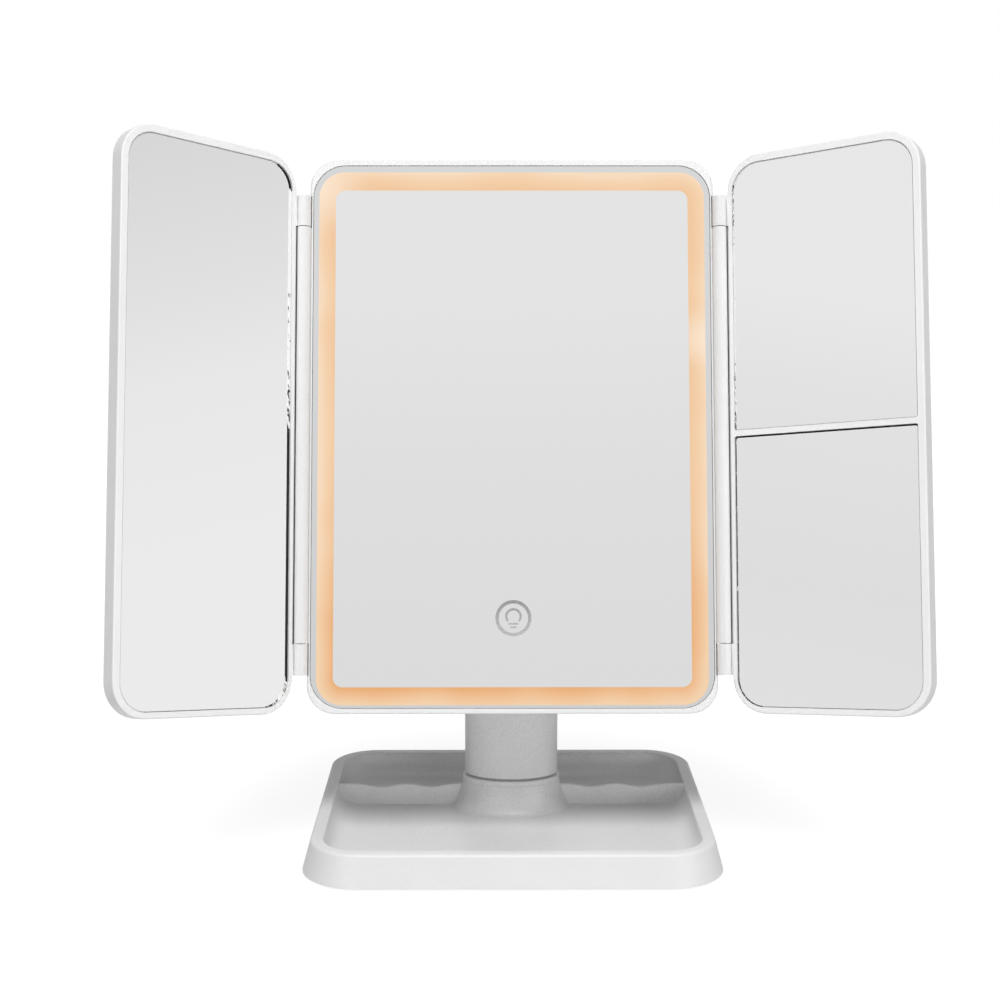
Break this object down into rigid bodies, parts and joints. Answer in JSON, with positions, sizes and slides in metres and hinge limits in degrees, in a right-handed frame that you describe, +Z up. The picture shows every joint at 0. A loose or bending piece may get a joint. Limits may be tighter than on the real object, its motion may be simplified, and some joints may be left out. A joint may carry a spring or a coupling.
{
  "type": "trifold vanity mirror",
  "caption": "Free-standing make-up mirror: a tilting lit rectangular mirror with a folding mirror on each side, on an oval post in a shallow divided tray base.",
  "frame": {"origin": "on the table, under the middle of the tray base", "axes": "+Z up, +Y away from the user, +X to the user's right"},
  "size_m": [0.3165, 0.1575, 0.296],
  "materials": {
    "white_gloss": "glossy moulded white",
    "white_matte": "fine matte white",
    "mirror": "silvered glass",
    "diffuser": "milky translucent",
    "chassis": "matte white",
    "tape": "black foam adhesive",
    "strip": "white solder mask",
    "chips": "yellow phosphor",
    "board": "green solder mask",
    "screws": "zinc plated",
    "bright_steel": "bare steel",
    "socket": "drawn steel shell",
    "copper": "copper foil",
    "cell": "laminated pouch",
    "lead": "insulated wire",
    "bracket": "white powder coat",
    "washer": "black nylon",
    "foot": "soft rubber"
  },
  "bodies": {
    "stand": {"base_tray": "white_matte", "base_bottom_cover": "white_matte", "base_weight_plate": "bright_steel", "base_feet": "foot", "base_screws": "screws", "post": "white_matte", "post_screws": "screws"},
    "head": {"head_front_frame": "white_gloss", "head_rear_housing": "white_gloss", "inner_chassis": "chassis", "main_mirror_glass": "mirror", "mirror_tape": "tape", "mirror_pads": "tape", "light_diffuser": "diffuser", "led_strip": "strip", "led_chips": "chips", "control_board": "board", "board_screws": "screws", "usb_socket": "socket", "touch_sensor": "copper", "touch_pin": "copper", "battery_cell": "cell", "battery_tape": "tape", "battery_leads": "lead", "led_leads": "lead", "housing_screws": "screws", "tilt_bracket": "bracket", "bracket_screws": "screws", "tilt_shaft": "bright_steel", "tilt_nut": "bright_steel", "tilt_washers": "washer", "tilt_caps": "white_matte"},
    "left_wing": {"left_wing_frame": "white_gloss", "left_wing_mirror": "mirror", "left_wing_tape": "tape", "left_hinge_pins": "bright_steel"},
    "right_wing": {"right_wing_frame": "white_gloss", "right_upper_mirror": "mirror", "right_lower_mirror": "mirror", "right_wing_tape": "tape", "right_hinge_pins": "bright_steel"}
  },
  "joints": [
    {"name": "head_tilt", "type": "hinge", "parent": "stand", "child": "head", "pos_m": [0, 0.018, 0.1357], "axis": [-1, 0, 0], "range_deg": [-14, 76]},
    {"name": "left_wing_fold", "type": "hinge", "parent": "head", "child": "left_wing", "pos_m": [-0.0866, -0.00566, 0.17252], "axis": [0, 0.2419, 0.9703], "range_deg": [-43.3, 136.7]},
    {"name": "right_wing_fold", "type": "hinge", "parent": "head", "child": "right_wing", "pos_m": [0.0866, -0.00566, 0.17252], "axis": [0, -0.2419, -0.9703], "range_deg": [-33.8, 146.2]}
  ]
}
